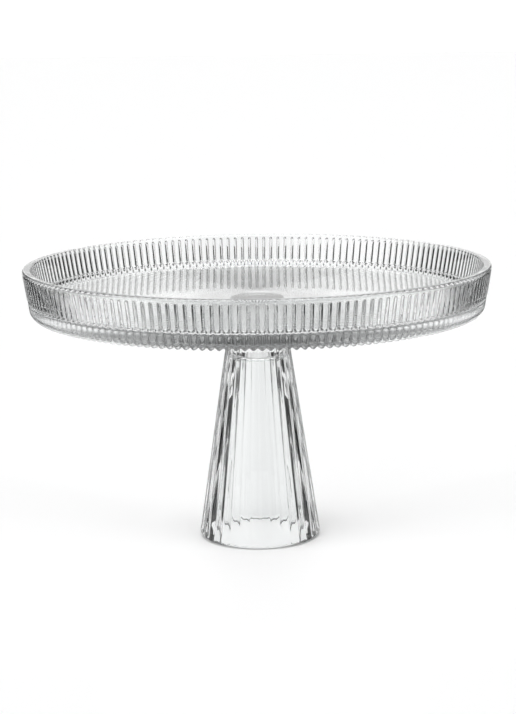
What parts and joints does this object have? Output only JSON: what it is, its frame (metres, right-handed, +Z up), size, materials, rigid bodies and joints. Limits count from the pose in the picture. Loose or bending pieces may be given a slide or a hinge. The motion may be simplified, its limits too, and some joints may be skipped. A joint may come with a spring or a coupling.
{
  "type": "cake stand",
  "caption": "Clear pressed-glass cake stand: a round ribbed tray with a low flared rim on a hollow, fluted, tapering foot.",
  "frame": {"origin": "on the table, under the middle of the foot", "axes": "+Z up along the axis that the tray and the foot share; -Y towards the usual viewer"},
  "size_m": [0.3, 0.3, 0.18],
  "materials": {
    "plate_glass": "clear pressed soda-lime glass, fire-polished",
    "foot_glass": "clear pressed soda-lime glass, fire-polished",
    "clear_adhesive": "clear cured adhesive film"
  },
  "bodies": {
    "root": {"plate": "plate_glass", "foot": "foot_glass", "bond": "clear_adhesive"}
  },
  "joints": []
}
